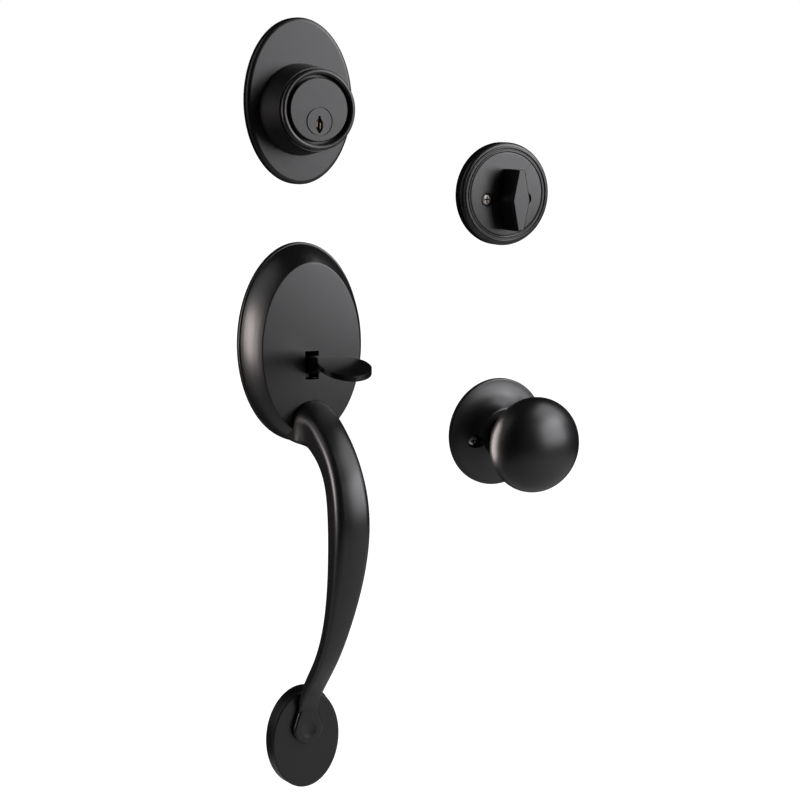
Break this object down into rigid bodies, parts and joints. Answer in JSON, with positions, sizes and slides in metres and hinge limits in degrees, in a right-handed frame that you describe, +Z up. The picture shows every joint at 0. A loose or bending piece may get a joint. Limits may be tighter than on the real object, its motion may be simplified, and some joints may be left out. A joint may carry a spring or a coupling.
{
  "type": "entry door handleset",
  "caption": "Black door handleset: deadbolt with keyed cylinder, arched grip with thumb latch and foot plate, inside thumbturn and round knob.",
  "frame": {"origin": "middle of the handle escutcheon's back, on the door plane", "axes": "+Z up along the door, -Y out of the door towards the viewer, +X from the outside pieces to the inside pieces"},
  "size_m": [0.2049, 0.1275, 0.4525],
  "materials": {
    "black_coating": "satin",
    "plug_metal": "satin",
    "shank_metal": "satin",
    "pin_brass": "satin",
    "spring_steel": "satin",
    "plated_steel": "satin",
    "screw_steel": "satin",
    "carrier_plating": "satin"
  },
  "bodies": {
    "fixed": {"deadbolt_plate": "black_coating", "deadbolt_collar": "black_coating", "cylinder_body": "black_coating", "driver_pins": "pin_brass", "pin_springs": "spring_steel", "pin_cover": "pin_brass", "turn_rose": "black_coating", "turn_backplate": "plated_steel", "turn_screws": "screw_steel", "knob_rose": "black_coating", "knob_backplate": "plated_steel", "spring_housing": "plated_steel", "knob_spring": "spring_steel", "knob_screws": "screw_steel", "escutcheon": "black_coating", "carrier_plate": "carrier_plating", "carrier_screws": "screw_steel", "mounting_posts": "plated_steel", "thumb_pin": "plated_steel", "thumb_spring": "spring_steel", "grip": "black_coating", "grip_screw": "screw_steel", "foot_plate": "black_coating"},
    "plug": {"cylinder_plug": "plug_metal", "key_pins": "pin_brass", "plug_clip": "spring_steel", "tailpiece": "plated_steel"},
    "turn": {"thumbturn": "black_coating", "turn_retainer": "spring_steel"},
    "knob": {"knob": "black_coating", "knob_shank": "shank_metal", "knob_spindle": "plated_steel", "knob_ring": "spring_steel"},
    "thumb": {"thumbpiece": "black_coating"},
    "hub": {"drive_hub": "pin_brass", "lift_lever": "plated_steel", "hub_clip": "spring_steel", "drive_spindle": "plated_steel"}
  },
  "joints": [
    {"name": "plug_turn", "type": "hinge", "parent": "fixed", "child": "plug", "pos_m": [0, 0, 0.1252], "axis": [0, -1, 0], "range_deg": [-90, 90]},
    {"name": "thumbturn_turn", "type": "hinge", "parent": "fixed", "child": "turn", "pos_m": [0.1334, 0, 0.0794], "axis": [0, -1, 0], "range_deg": [-90, 90]},
    {"name": "knob_turn", "type": "hinge", "parent": "fixed", "child": "knob", "pos_m": [0.1334, 0, -0.0643], "axis": [0, -1, 0], "range_deg": [-60, 60], "stiffness_Nm_per_rad": 0.3},
    {"name": "thumb_press", "type": "hinge", "parent": "fixed", "child": "thumb", "pos_m": [0, -0.012, -0.012], "axis": [1, 0, 0], "range_deg": [0, 14], "stiffness_Nm_per_rad": 0.15, "springref_deg": -17.19, "deforming": ["thumb_spring"]},
    {"name": "hub_turn", "type": "hinge", "parent": "fixed", "child": "hub", "pos_m": [0, 0, -0.0145], "axis": [0, -1, 0], "range_deg": [0, 24.4]}
  ],
  "couplings": [
    {"joint": "hub_turn", "follows": "thumb_press", "ratio": 1.74}
  ]
}
